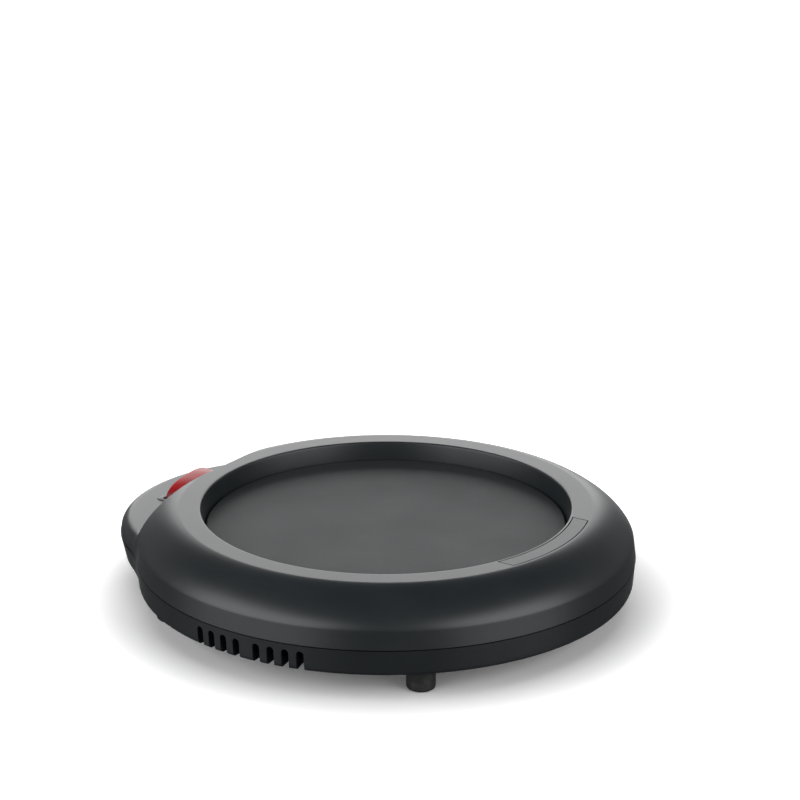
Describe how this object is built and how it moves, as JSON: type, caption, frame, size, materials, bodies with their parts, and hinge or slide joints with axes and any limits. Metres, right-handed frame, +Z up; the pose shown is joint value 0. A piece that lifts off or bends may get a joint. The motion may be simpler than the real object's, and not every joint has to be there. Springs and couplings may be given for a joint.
{
  "type": "electric mug warmer",
  "caption": "Low round desktop warmer with a recessed hot plate, a switch lobe with a rocker at the back, side vents, a trim strip in the rim and peg feet.",
  "frame": {"origin": "centre of the hot plate's top face", "axes": "+Z up out of the hot plate, +Y towards the switch lobe and cord inlet, -Y towards the trim strip at the front"},
  "size_m": [0.1256, 0.1379, 0.0255],
  "materials": {
    "black_shell": "satin moulded black",
    "grey_trim": "satin trim strip",
    "hot_plate": "matte non-stick coating on aluminium",
    "seal": "heat resisting gasket",
    "mica": "mica sheet",
    "heater_metal": "resistance ribbon",
    "insulation": "ceramic fibre felt",
    "steel": "zinc plated steel",
    "shield_metal": "plain sheet",
    "switch_black": "switch body",
    "red_rocker": "tinted translucent red",
    "brass": "contact metal",
    "lamp_glass": "small glow lamp",
    "resistor_body": "lacquered",
    "foot_rubber": "soft black rubber",
    "sleeving": "fibreglass sleeving on the leads",
    "crimp_nylon": "closed-end crimp"
  },
  "bodies": {
    "case": {"upper_cover": "black_shell", "lower_base": "black_shell", "rim_inlay": "grey_trim", "warming_plate": "hot_plate", "plate_gasket": "seal", "upper_mica": "mica", "heater_ribbon": "heater_metal", "lower_mica": "mica", "insulation_pad": "insulation", "clamp_plate": "steel", "plate_screws": "steel", "heat_shield": "shield_metal", "case_screws": "steel", "switch_housing": "switch_black", "common_terminal": "brass", "load_terminal": "brass", "lamp_terminal": "brass", "neon_lamp": "lamp_glass", "lamp_resistor": "resistor_body", "cord_inlet": "foot_rubber", "thermal_cutoff": "steel", "cutoff_clip": "steel", "live_lead": "sleeving", "heater_lead": "sleeving", "neutral_lead": "sleeving", "lamp_lead": "sleeving", "neutral_crimp": "crimp_nylon", "foot_front_left": "foot_rubber", "foot_front_right": "foot_rubber", "foot_back_left": "foot_rubber", "foot_back_right": "foot_rubber"},
    "rocker_button": {"rocker": "red_rocker", "rocker_plunger": "brass", "plunger_spring": "steel"},
    "contact_arm": {"contact_lever": "brass"}
  },
  "joints": [
    {"name": "rocker_pivot", "type": "hinge", "parent": "case", "child": "rocker_button", "pos_m": [0, 0.0585, -0.0066], "axis": [0, 1, 0], "range_deg": [0, 12]},
    {"name": "lever_pivot", "type": "hinge", "parent": "case", "child": "contact_arm", "pos_m": [0, 0.0585, -0.0099], "axis": [0, 1, 0], "range_deg": [-10, 0]}
  ],
  "couplings": [
    {"joint": "lever_pivot", "follows": "rocker_pivot", "ratio": -0.8333}
  ]
}
